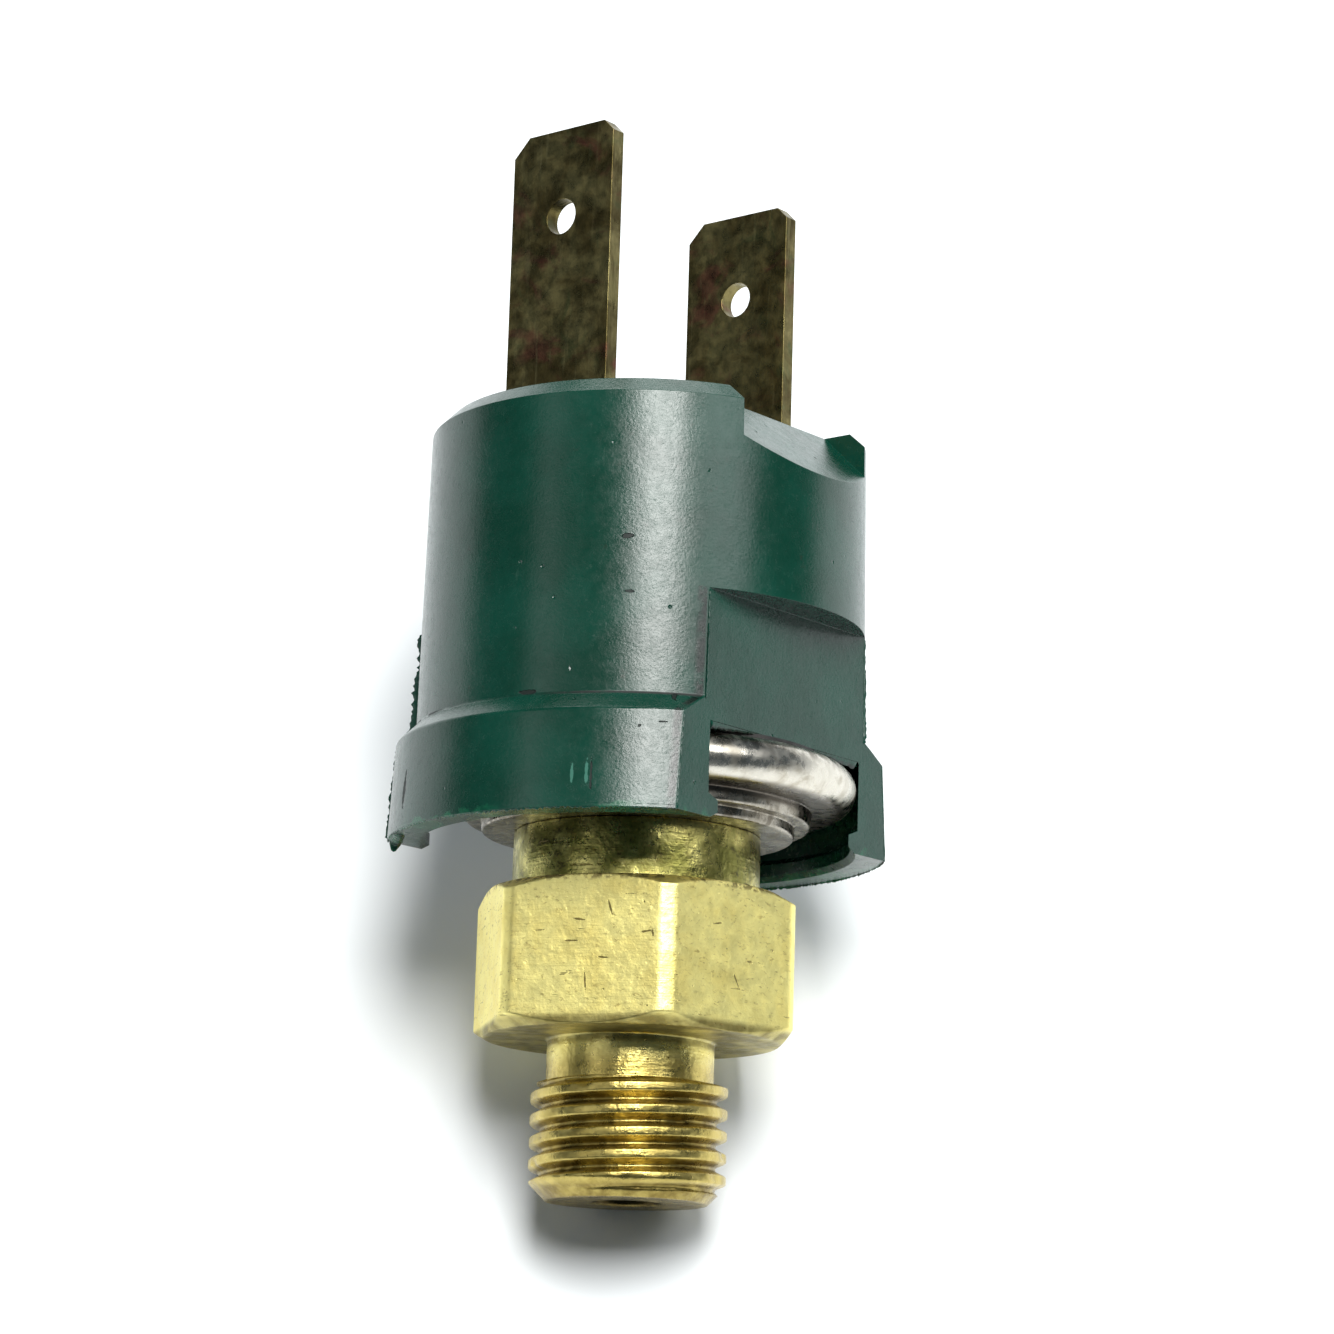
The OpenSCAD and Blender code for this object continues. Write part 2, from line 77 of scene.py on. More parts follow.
# radius of the port, the collar and the stake that holds the capsule, and how far the stake's head is flared
PORT_R, COLLAR_R, STAKE_R, STAKE_FLARE = 1.6, 12.05 / 2, 3.2, 0.8

# capsule: sheet thickness, heights of its step and its flange over its underside, and the bead's radius
CUP_T, CUP_STEP, CUP_FLANGE = 0.45, 0.55, 1.3
BEAD_R = (CUP_HIGH[2] - CUP_LOW[2] - CUP_FLANGE) / 2

# housing: distance of the flats from the axis, height of the ledge over them, and top and foot of the skirt;
# then the radius of the body over the skirt, and of the skirt at its top and foot
FLAT_X, LEDGE_Z, STEP_Z = 9.0, 20.2, 14.95
SKIRT_Z = SHELL_LOW[2]
BODY_LOW_R, SKIRT_HIGH_R, SKIRT_LOW_R = 11.0, 11.95, 12.2

# window over the crimped bead: half its width, and its top edge
WINDOW_Y = math.sqrt((CUP_HIGH[0] + 0.1) ** 2 - FLAT_X ** 2)
WINDOW_Z = span("capsule_gasket")[1][2]

# blades: distance from the axis, sideways shift, width and thickness
BLADE_Y, BLADE_SHIFT, BLADE_W, BLADE_T = 6.675, 0.28, 6.35, 0.81

# dark nicks and pale rubs on the housing: angle in degrees, height, half width, half height
NICKS = [
    (-55.1, 22.47, 0.34, 0.13),
    (-54.4, 19.81, 0.26, 0.08),
    (-80.2, 15.11, 0.5, 0.12),
    (-45.8, 13.42, 0.2, 0.05),
    (-42.9, 14.8, 0.2, 0.22),
    (-51.0, 13.2, 0.08, 0.07),
    (-61.3, 10.9, 0.06, 0.75),
    (-118.5, 11.2, 0.2, 0.9),
    (41.0, 17.3, 0.3, 0.1),
    (128.0, 21.0, 0.35, 0.1),
]
RUBS = [
    (-65.6, 10.9, 0.07, 0.65),
    (-62.3, 11.0, 0.09, 0.75),
    (70.0, 12.0, 0.07, 0.6),
    (150.0, 24.0, 0.3, 0.05),
]

# cuts on the hexagon: angle in degrees, height, half width, half height, lean in degrees
HEX_CUTS = [
    (-69.0, 1.97, 0.05, 0.55, 12),
    (-71.5, 4.9, 0.35, 0.05, -24),
    (-60.0, 5.4, 0.05, 0.30, 40),
    (-46.5, 4.22, 0.34, 0.06, 8),
    (-44.5, 4.2, 0.08, 0.2, 0),
    (-75.0, 3.9, 0.4, 0.04, 4),
    (-62.5, 3.1, 0.3, 0.05, -8),
    (-8.0, 2.5, 0.05, 0.4, 28),
    (-18.0, 5.0, 0.3, 0.05, 12),
    (50.0, 3.6, 0.5, 0.05, 20),
    (110.0, 2.2, 0.06, 0.5, -15),
    (172.0, 4.4, 0.4, 0.06, 9),
]


# ---------------------------------------------------------------- meshes
def grid_piece(name, points, wrap_rows=False, wrap_columns=False):
    """A surface through a grid of points, rows by columns, in millimetres: each four neighbours make a face,
    and a wrapped side also joins its last line to its first. Doubled points are merged."""
    rows, columns = points.shape[:2]
    index = np.arange(rows * columns).reshape(rows, columns)
    if wrap_rows:
        index = np.vstack([index, index[:1]])
    if wrap_columns:
        index = np.hstack([index, index[:, :1]])
    faces = np.stack([index[:-1, :-1], index[:-1, 1:], index[1:, 1:], index[1:, :-1]], -1).reshape(-1, 4)
    mesh = bpy.data.meshes.new(name)
    mesh.vertices.add(rows * columns)
    mesh.vertices.foreach_set("co", (points.reshape(-1, 3) * MM).astype(np.float32).ravel())
    mesh.loops.add(faces.size)
    mesh.loops.foreach_set("vertex_index", faces.ravel().astype(np.int32))
    mesh.polygons.add(len(faces))
    mesh.polygons.foreach_set("loop_start", np.arange(0, faces.size, 4, dtype=np.int32))
    mesh.update(calc_edges=True)
    shape = bmesh.new()
    shape.from_mesh(mesh)
    bmesh.ops.remove_doubles(shape, verts=shape.verts, dist=1e-7)
    bmesh.ops.dissolve_degenerate(shape, edges=shape.edges, dist=1e-7)
    shape.to_mesh(mesh)
    shape.free()
    return linked(name, mesh)


def linked(name, mesh):
    """A new object with the mesh, in the scene."""
    piece = bpy.data.objects.new(name, mesh)
    bpy.context.scene.collection.objects.link(piece)
    return piece


def shade(piece, angle):
    """Smooth faces, with edges sharper than the angle kept sharp."""
    mesh = piece.data
    mesh.polygons.foreach_set("use_smooth", np.ones(len(mesh.polygons), bool))
    shape = bmesh.new()
    shape.from_mesh(mesh)
    for edge in shape.edges:
        edge.smooth = len(edge.link_faces) < 2 or edge.calc_face_angle(0) < math.radians(angle)
    shape.to_mesh(mesh)
    shape.free()
    return piece


def outward(piece):
    """Turns all faces of a closed piece outward."""
    shape = bmesh.new()
    shape.from_mesh(piece.data)
    bmesh.ops.recalc_face_normals(shape, faces=shape.faces)
    shape.to_mesh(piece.data)
    shape.free()
    return piece


def finish_copy(name, node, width, segments, small=1.0, softer=None):
    """A copy of a CAD node whose loose triangles are merged into whole faces, with its edges rounded. An edge
    whose middle passes the softer test is rounded by the whole width, the others by a small share of it."""
    sharp = math.radians(24)
    mesh = NODES[node].data.copy()
    mesh.materials.clear()
    piece = linked(name, mesh)
    shape = bmesh.new()
    shape.from_mesh(mesh)
    bmesh.ops.remove_doubles(shape, verts=shape.verts, dist=2e-6)
    bmesh.ops.dissolve_limit(shape, angle_limit=math.radians(0.6), verts=shape.verts, edges=shape.edges)
    bmesh.ops.recalc_face_normals(shape, faces=shape.faces)
    weight = shape.edges.layers.float.new("bevel_weight_edge")
    for edge in shape.edges:
        if len(edge.link_faces) == 2 and edge.calc_face_angle(0) > sharp:
            middle = (edge.verts[0].co + edge.verts[1].co) / 2 / MM
            edge[weight] = 1.0 if softer and softer(middle) else small
    shape.to_mesh(mesh)
    shape.free()
    if "custom_normal" in mesh.attributes:
        mesh.attributes.remove(mesh.attributes["custom_normal"])
    shade(piece, 30)
    bevel = piece.modifiers.new("rounded_edges", "BEVEL")
    bevel.limit_method = "WEIGHT"
    bevel.width = width * MM
    bevel.segments = segments
    bevel.use_clamp_overlap = True
    bevel.harden_normals = True
    return piece


CORNER_STEPS = 5


def rounded_profile(corners):
    """Points along a closed outline of (radius, height, fillet): each corner gives way to a quadratic blend
    that leaves one tangent point towards the corner and ends at the other."""
    path = np.array(corners, float)
    here, before, after = path[:, :2], np.roll(path[:, :2], 1, 0), np.roll(path[:, :2], -1, 0)
    to_before, to_after = before - here, after - here
    length_before, length_after = np.hypot(*to_before.T), np.hypot(*to_after.T)
    reach = np.minimum(path[:, 2], 0.48 * np.minimum(length_before, length_after))[:, None]
    start = here + to_before / length_before[:, None] * reach
    end = here + to_after / length_after[:, None] * reach
    t = np.linspace(0, 1, CORNER_STEPS)[None, :, None]
    curve = (1 - t) ** 2 * start[:, None] + 2 * t * (1 - t) * here[:, None] + t ** 2 * end[:, None]
    return curve.reshape(-1, 2)


def turned(profile, columns):
    """A profile of (radius, height) carried round the axis: x = r cos a, y = r sin a, z = height."""
    a = np.linspace(0, TAU, columns, endpoint=False)[None, :]
    r, z = profile[:, :1], profile[:, 1:]
    return np.stack([r * np.cos(a), r * np.sin(a), z + 0 * a], -1)


# ---------------------------------------------------------------- port fitting
def soft_min(a, b, k):
    """The lower of two values, with the corner between them rounded over a width k."""
    h = np.clip(0.5 + 0.5 * (b - a) / k, 0, 1)
    return b * (1 - h) + a * h - k * h * (1 - h)


def thread_radius(a, z):
    """A V wave of (height / pitch - angle / turn) with worn crests, less a few dents, cut by a cone at the
    thread's end and by a short slope down to the neck."""
    end, dents, worn = FIT_LOW[2], 26, 0.03
    wave = np.abs(((z - end) / THREAD_PITCH - a / TAU) % 1 - 0.5) * 2
    cut = np.clip((wave - 0.08) / 0.62, 0, 1)
    ridge = THREAD_R - worn - THREAD_DEPTH * (1 - cut * cut * (3 - 2 * cut)) + worn * wave
    dice = np.random.default_rng(11)
    for _ in range(dents):
        place, level_z, wide = dice.uniform(0, TAU), dice.uniform(end, -NECK_LEN), dice.uniform(0.05, 0.22)
        gap = np.abs((a - place + math.pi) % TAU - math.pi)
        ridge = ridge - dice.uniform(0.03, 0.14) * np.exp(-(gap / wide) ** 2 - ((z - level_z) / 0.2) ** 2)
    ridge = soft_min(ridge, THREAD_R - THREAD_LEAD + (z - end) + 0 * a, 0.08)
    run_out = NECK_R + np.clip((-NECK_LEN - z) / 0.13, 0, 1) * (THREAD_R - NECK_R)
    return np.minimum(ridge, run_out)


def hexagon_radius(a, lift):
    """Half the size over the cosine of the angle to the nearest flat's middle, cut by the turned corners and
    by a 30 degree cone at each end."""
    sector = ((a - HEX_TURN) % (math.pi / 3)) - math.pi / 6
    corner = HEX_AF / math.sqrt(3) - HEX_CORNER_CUT
    prism = soft_min(HEX_AF / 2 / np.cos(sector), corner + 0 * a, 0.05)
    cone = np.minimum(lift, HEX_H - lift) / math.tan(math.radians(30)) + HEX_AF / 2
    return soft_min(prism + 0 * lift, cone + 0 * a, 0.08)


def fitting_points():
    """Radius as a function of angle and height, from the thread's end up over the hexagon, the collar and the
    stake, and back down inside the port: the thread and the hexagon are waves, the rest a turned profile."""
    a = np.linspace(0, TAU, 360, endpoint=False)[None, :]
    end, cup_z, top = FIT_LOW[2], CUP_LOW[2], FIT_HIGH[2]
    groove_z = np.linspace(end, -NECK_LEN - 0.14, 118)
    slope_z = np.linspace(-NECK_LEN - 0.13, -NECK_LEN + 0.05, 8)
    z = np.concatenate([groove_z, slope_z])[:, None]
    rows_r, rows_z = [thread_radius(a, z)], [z + 0 * a]

    def add(radius, height):
        rows_r.append(np.atleast_1d(radius)[:, None] + 0 * a)
        rows_z.append(np.atleast_1d(height)[:, None] + 0 * a)

    bend = np.linspace(0, math.pi / 2, 6)
    add(np.full(4, NECK_R), np.linspace(-NECK_LEN + 0.1, -0.3, 4))
    add(NECK_R + 0.15 * (1 - np.cos(bend)), -0.15 + 0.15 * np.sin(bend))
    add(np.linspace(NECK_R + 0.3, HEX_AF / 2 - 0.02, 9), np.zeros(9))
    foot, brow = np.linspace(0.01, 0.75, 14), np.linspace(HEX_H - 0.75, HEX_H - 0.01, 14)
    lift = np.concatenate([foot, np.linspace(0.9, HEX_H - 0.9, 12), brow])[:, None]
    rows_r.append(hexagon_radius(a, lift))
    rows_z.append(lift + 0 * a)
    add(np.linspace(HEX_AF / 2 - 0.03, COLLAR_R + 0.12, 4), np.full(4, HEX_H))
    add(COLLAR_R + 0.1 * (1 - np.sin(bend)), HEX_H + 0.1 * (1 - np.cos(bend)))
    add(np.full(9, COLLAR_R), np.linspace(HEX_H + 0.2, cup_z - 0.15, 9))
    add(COLLAR_R - 0.1 * (1 - np.cos(bend)), cup_z - 0.1 + 0.1 * np.sin(bend))
    flare, plate = STAKE_R + STAKE_FLARE, cup_z + CUP_T
    add([STAKE_R + 0.05, STAKE_R, STAKE_R, flare - 0.1, flare, flare, flare - 0.15, PORT_R + 0.15, PORT_R],
        [cup_z, cup_z + 0.02, plate, plate, plate + 0.1, top - 0.15, top, top, top - 0.15])
    add(np.full(6, PORT_R), np.linspace(top - 1, end + 0.4, 6))
    add([PORT_R, PORT_R + 0.12, PORT_R + 0.4, THREAD_R - THREAD_LEAD - 0.3], [end + 0.12, end, end, end])
    r, height = np.vstack(rows_r), np.vstack(rows_z)
    return np.stack([r * np.cos(a), r * np.sin(a), height], -1)


# ---------------------------------------------------------------- steel capsule
def capsule_profile():
    """The cup's outline: a low step, a shoulder, a flange, a half-round bead rolled over, and the same sheet
    inside. Where the bead joins, an end corner's repeated points are left out."""
    bottom, rim = CUP_LOW[2], CUP_HIGH[2]
    step, flange = bottom + CUP_STEP, bottom + CUP_FLANGE
    bead_r = CUP_HIGH[0]
    middle = bead_r - BEAD_R
    foot, shoulder = middle - 1.875, middle - 1.075
    lip, wall, lip_z = bead_r - 1.8, bead_r - 0.65, rim - 0.5
    bend = np.linspace(-math.pi / 2, math.pi / 2, 25)
    bead = np.stack([middle + BEAD_R * np.cos(bend), flange + BEAD_R + BEAD_R * np.sin(bend)], 1)
    below = rounded_profile([
        (STAKE_R, bottom, 0), (foot, bottom, 0.22), (foot, step, 0.1),
        (shoulder, step, 0.22), (shoulder, flange, 0.12), (middle, flange, 0),
    ])
    inside = rounded_profile([
        (middle, rim, 0), (lip, rim, 0.2), (lip, lip_z, 0), (wall, lip_z, 0.1),
        (wall, flange + CUP_T, 0.1), (shoulder - CUP_T, flange + CUP_T, 0.1),
        (shoulder - CUP_T, step + CUP_T, 0.1), (foot - CUP_T, step + CUP_T, 0.1),
        (foot - CUP_T, bottom + CUP_T, 0.1), (STAKE_R, bottom + CUP_T, 0),
    ])
    repeats = CORNER_STEPS - 1
    return np.vstack([below[:-repeats], bead[1:-1], inside[repeats:]])


# ---------------------------------------------------------------- potting
def potting_points():
    """The epoxy's top as height over place: level in the open, and rising as it nears the recess wall or a
    blade, by exp(-distance / reach) of a small climb; the outline is a rounded rectangle, and it closes
    underneath."""
    half_x, half_y, corner = POT_HIGH[0], POT_HIGH[1], 1.0
    wall_climb, blade_climb, reach = 0.2, 0.22, 0.3
    a = np.linspace(0, TAU, 256, endpoint=False)[None, :]
    c, s = np.cos(a), np.sin(a)
    rim = np.minimum(half_x / np.maximum(abs(c), 1e-6), half_y / np.maximum(abs(s), 1e-6))
    x, y = rim * c, rim * s
    dx, dy = np.maximum(abs(x) - (half_x - corner), 0), np.maximum(abs(y) - (half_y - corner), 0)
    inner = np.hypot(dx, dy)
    rounded = (dx > 0) & (dy > 0)
    pull = np.where(rounded, np.minimum(1, corner / np.maximum(inner, 1e-9)), 1)
    x = np.where(rounded, np.sign(x) * (half_x - corner + dx * pull), x)
    y = np.where(rounded, np.sign(y) * (half_y - corner + dy * pull), y)
    t = (1 - (1 - np.linspace(0, 1, 60)) ** 1.6)[:, None]
    px, py = x * t, y * t
    wall = np.minimum(half_x - abs(px), half_y - abs(py))
    to_blades = []
    for side in (-1, 1):
        gap_x = np.maximum(abs(px - side * BLADE_SHIFT) - BLADE_W / 2, 0)
        gap_y = np.maximum(abs(py - side * BLADE_Y) - BLADE_T / 2, 0)
        to_blades.append(np.hypot(gap_x, gap_y))
    blade = np.minimum(*to_blades)
    climb = wall_climb * np.exp(-wall / reach) + blade_climb * np.exp(-blade / reach)
    wobble = 0.03 * np.sin(1.3 * px + 0.6) * np.cos(0.9 * py)
    top = np.stack([px, py, POT_HIGH[2] + climb + wobble], -1)
    under = np.stack([px, py, POT_LOW[2] + 0 * px], -1)[::-1]
    return np.concatenate([top, under])


# ---------------------------------------------------------------- mould flash
def ribbon(path, out, width, thick):
    """A thin fin along a path: each section is a flat loop of seven points that starts inside the wall and
    tapers to its torn edge, width away along the outward direction, its sides half the thickness off it."""
    path, width = np.asarray(path, float), np.asarray(width, float)[:, None]
    out = np.broadcast_to(np.asarray(out, float), path.shape)
    side = np.cross(np.gradient(path, axis=0), out)
    side /= np.linalg.norm(side, axis=1)[:, None]
    width[[0, -1]] = 0.0
    root = path - out * 0.12
    rings = [root + side * thick / 2]
    for reach, half in ((0.4, 0.8), (0.9, 0.35), (1.0, 0), (0.9, -0.35), (0.4, -0.8)):
        rings.append(path + out * (reach * width) + side * thick * half / 2)
    rings.append(root - side * thick / 2)
    points = np.stack(rings, 1)
    ends = [np.repeat(points[k].mean(0)[None, None], len(rings), 1) for k in (0, -1)]
    return outward(grid_piece("fin", np.concatenate([ends[0], points, ends[1]]), wrap_columns=True))


def torn(count, low, high, seed):
    """Widths between low and high that wander: sines of random phase, with a few sharp bites."""
    dice = np.random.default_rng(seed)
    t = np.linspace(0, 1, count)
    wave = sum(np.sin(TAU * k * t + dice.uniform(0, TAU)) / k ** 0.6 for k in (1, 2, 3, 5, 8, 13, 21)) / 3.2
    return low + (high - low) * np.clip(0.5 + 0.5 * wave + 0.22 * dice.standard_normal(count), 0, 1)


def upright_fins():
    """Fins up both edges of each flat, wide above the skirt and narrow on it, fading towards their tops. The
    edge is where the round wall meets the flat: y = sqrt(r r - x x)."""
    count = 46
    above = (STEP_Z - 0.1, LEDGE_Z - 0.05, BODY_LOW_R, BODY_LOW_R - 0.06, 0.22, 0.62)
    on_skirt = (SKIRT_Z + 0.1, STEP_Z - 1.0, SKIRT_LOW_R, SKIRT_HIGH_R, 0.04, 0.20)
    taper = np.linspace(1, 0.6, count)
    fins = []
    for sx, sy, size in ((-1, -1, 1.0), (1, -1, 0.4), (1, 1, 0.25), (-1, 1, 0.6)):
        for z0, z1, r0, r1, low, high in (above, on_skirt):
            z, r = np.linspace(z0, z1, count), np.linspace(r0, r1, count)
            x, y = np.full(count, sx * (FLAT_X - 0.03)), sy * (np.sqrt(r ** 2 - FLAT_X ** 2) - 0.05)
            width = torn(count, low, high, 7 * len(fins) + 3) * size * taper + 0.02
            fins.append(ribbon(np.stack([x, y, z], 1), (sx * 0.82, sy * 0.57, 0.0), width, 0.13))
    return fins


def foot_fins():
    """A ragged line under the skirt's foot, just inside its edge, along each arc between the flats."""
    count, r = 260, 12.13
    fins = []
    for start, stop, seed in ((-138, -42, 5), (42, 138, 9)):
        a = np.radians(np.linspace(start, stop, count))
        path = np.stack([r * np.cos(a), r * np.sin(a), np.full(count, SKIRT_Z + 0.05)], 1)
        fins.append(ribbon(path, (0, 0, -1.0), torn(count, 0.03, 0.16, seed), 0.12))
    return fins


def hooks():
    """Three short torn humps under one corner of the skirt: angle, arc length, drop, lean and thickness."""
    count, r = 50, 11.75
    hump = np.sin(np.linspace(0, math.pi, count)) ** 0.35
    drift = np.linspace(0, 1e-3, count)[:, None]
    corner = ((-134.0, 2.4, 0.42, -0.2, 0.8), (-135.8, 1.3, 0.66, -0.3, 0.7), (-131.0, 1.6, 0.40, 0.0, 0.7))
    fins = []
    for n, (angle, arc, drop, lean, thick) in enumerate(corner):
        a = np.radians(angle) + np.linspace(-0.5, 0.5, count) * arc / 12
        path = np.stack([r * np.cos(a), r * np.sin(a), np.full(count, SKIRT_Z + 0.1)], 1)
        path[:, 0] = np.maximum(path[:, 0], -FLAT_X + 0.25)
        out = np.array([lean, 0.05, -1.0])
        width = hump * torn(count, 0.6 * drop, drop, 40 + n)
        fins.append(ribbon(path + drift, out / np.linalg.norm(out), width, thick))
    return fins


def window_fins():
    """Each window's arched top, lowest at its ends, and the ragged upright edge at one side of it."""
    top_count, side_count, inside = 90, 60, FLAT_X - 0.14
    y = np.linspace(-WINDOW_Y + 0.02, WINDOW_Y - 0.02, top_count)
    z = np.linspace(SKIRT_Z + 0.9, WINDOW_Z - 0.1, side_count)
    arch = 0.04 + 0.34 * (np.abs(y) / WINDOW_Y) ** 2.2
    taper = np.linspace(1, 0.5, side_count)
    fins = []
    for side in (-1, 1):
        path = np.stack([np.full(top_count, side * inside), y, np.full(top_count, WINDOW_Z + 0.03)], 1)
        fins.append(ribbon(path, (0, 0, -1.0), arch + torn(top_count, 0.0, 0.10, 60 + side), 0.24))
        path = np.stack([np.full(side_count, side * inside), np.full(side_count, -WINDOW_Y - 0.03), z], 1)
        fins.append(ribbon(path, (0, 1.0, 0), torn(side_count, 0.03, 0.30, 70 + side) * taper, 0.22))
    return fins


def flash():
    """All fins of the moulding as one piece."""
    points, faces, count = [], [], 0
    for fin in upright_fins() + foot_fins() + hooks() + window_fins():
        co = np.empty(len(fin.data.vertices) * 3)
        fin.data.vertices.foreach_get("co", co)
        points.append(co.reshape(-1, 3))
        faces += [tuple(v + count for v in face.vertices) for face in fin.data.polygons]
        count += len(fin.data.vertices)
        bpy.data.objects.remove(fin)
    mesh = bpy.data.meshes.new("mould_flash")
    mesh.from_pydata(np.concatenate(points).tolist(), [], faces)
    return shade(linked("mould_flash", mesh), 50)


# ---------------------------------------------------------------- finishes
class Finish:
    """A procedural material whose patterns read object coordinates in millimetres."""

    def __init__(self, name, roughness=0.5, metallic=0.0, **sockets):
        self.material = bpy.data.materials.new(name)
        self.material.use_nodes = True
        self.tree = self.material.node_tree
        self.shader = self.tree.nodes["Principled BSDF"]
        self.shader.inputs["Roughness"].default_value = roughness
        self.shader.inputs["Metallic"].default_value = metallic
        for key, value in sockets.items():
            self.shader.inputs[key.replace("_", " ")].default_value = value
        place = self.tree.nodes.new("ShaderNodeTexCoord")
        scale = self.tree.nodes.new("ShaderNodeMapping")
        scale.inputs["Scale"].default_value = (1 / MM,) * 3
        self.tree.links.new(place.outputs["Object"], scale.inputs["Vector"])
        self.place = scale.outputs["Vector"]
        self.bumps = None

    def link(self, value, socket):
        if isinstance(value, bpy.types.NodeSocket):
            self.tree.links.new(value, socket)
        else:
            socket.default_value = value

    def stretched(self, sx, sy, sz, turn=(0, 0, 0)):
        """Coordinates scaled along each axis, and turned."""
        node = self.tree.nodes.new("ShaderNodeMapping")
        node.inputs["Scale"].default_value = (sx, sy, sz)
        node.inputs["Rotation"].default_value = turn
        self.tree.links.new(self.place, node.inputs["Vector"])
        return node.outputs["Vector"]

    def noise(self, scale, detail=4, rough=0.55, warp=0.0, place=None):
        node = self.tree.nodes.new("ShaderNodeTexNoise")
        node.inputs["Scale"].default_value = scale
        node.inputs["Detail"].default_value = detail
        node.inputs["Roughness"].default_value = rough
        node.inputs["Distortion"].default_value = warp
        self.tree.links.new(place or self.place, node.inputs["Vector"])
        return node.outputs["Fac"]

    def cells(self, scale):
        """Distance to the middle of the nearest of many scattered cells."""
        node = self.tree.nodes.new("ShaderNodeTexVoronoi")
        node.inputs["Scale"].default_value = scale
        self.tree.links.new(self.place, node.inputs["Vector"])
        return node.outputs["Distance"]

    def ramp(self, value, low, high, a=0.0, b=1.0):
        """a below low, b above high, and a smooth step between."""
        node = self.tree.nodes.new("ShaderNodeMapRange")
        node.interpolation_type = "SMOOTHSTEP"
        for key, number in (("From Min", low), ("From Max", high), ("To Min", a), ("To Max", b)):
            node.inputs[key].default_value = number
        self.tree.links.new(value, node.inputs["Value"])
        return node.outputs["Result"]

    def maths(self, kind, a, b=0.0):
        node = self.tree.nodes.new("ShaderNodeMath")
        node.operation = kind
        self.link(a, node.inputs[0])
        self.link(b, node.inputs[1])
        return node.outputs[0]

    def times(self, a, b):
        return self.maths("MULTIPLY", a, b)

    def plus(self, a, b):
        return self.maths("ADD", a, b)

    def larger(self, a, b):
        return self.maths("MAXIMUM", a, b)

    def rest(self, share):
        """1 less the share."""
        return self.maths("SUBTRACT", 1.0, share)

    def near(self, value, level, inner, outer, a=1.0, b=0.0):
        """a where the value is within inner of the level, b beyond outer, and a smooth step between."""
        return self.ramp(self.maths("ABSOLUTE", self.maths("SUBTRACT", value, level)), inner, outer, a, b)

    def blend(self, share, a, b):
        node = self.tree.nodes.new("ShaderNodeMix")
        node.data_type = "RGBA"
        self.link(share, node.inputs["Factor"])
        self.link((*a, 1) if isinstance(a, tuple) else a, node.inputs[6])
        self.link((*b, 1) if isinstance(b, tuple) else b, node.inputs[7])
        return node.outputs[2]

    def mark(self, angle, height, radius, wide, tall, lean=0.0):
        """1 inside an egg-shaped spot at an angle, height and radius, 0 outside it, and a ragged edge."""
        a, lean = math.radians(angle), math.radians(lean)
        near = self.tree.nodes.new("ShaderNodeMapping")
        near.vector_type = "TEXTURE"
        near.inputs["Location"].default_value = (radius * math.cos(a), radius * math.sin(a), height)
        near.inputs["Rotation"].default_value = (lean * math.cos(a), lean * math.sin(a), a)
        near.inputs["Scale"].default_value = (1.5, wide, tall)
        self.tree.links.new(self.place, near.inputs["Vector"])
        length = self.tree.nodes.new("ShaderNodeVectorMath")
        length.operation = "LENGTH"
        self.tree.links.new(near.outputs["Vector"], length.inputs[0])
        ragged = self.plus(length.outputs["Value"], self.ramp(self.noise(3.5, 3), 0.3, 0.7, -0.3, 0.3))
        return self.ramp(ragged, 0.75, 1.0, 1, 0)

    def marks(self, places, radius_at):
        """All marks of a list, each at the radius that the wall has at its height."""
        every = None
        for angle, height, *sizes in places:
            mark = self.mark(angle, height, radius_at(height), *sizes)
            every = mark if every is None else self.larger(every, mark)
        return every

    def axis(self, name):
        node = self.tree.nodes.new("ShaderNodeSeparateXYZ")
        self.tree.links.new(self.place, node.inputs[0])
        return node.outputs[name]

    def radius(self):
        """Distance from the switch's axis."""
        x, y = self.axis("X"), self.axis("Y")
        return self.maths("SQRT", self.plus(self.times(x, x), self.times(y, y)))

    def colour(self, value):
        self.link(value, self.shader.inputs["Base Color"])

    def gloss(self, value):
        self.link(value, self.shader.inputs["Roughness"])

    def relief(self, height, depth):
        """Bumps of the given depth in millimetres, on top of those already there."""
        node = self.tree.nodes.new("ShaderNodeBump")
        node.inputs["Strength"].default_value = 1.0
        node.inputs["Distance"].default_value = depth * MM
        self.tree.links.new(height, node.inputs["Height"])
        if self.bumps is not None:
            self.tree.links.new(self.bumps, node.inputs["Normal"])
        self.bumps = node.outputs["Normal"]
        self.tree.links.new(self.bumps, self.shader.inputs["Normal"])


def wall_radius(height):
    """The housing's radius at a height, near enough to place a mark on it."""
    return BODY_LOW_R if height > STEP_Z else SHELL_HIGH[1]


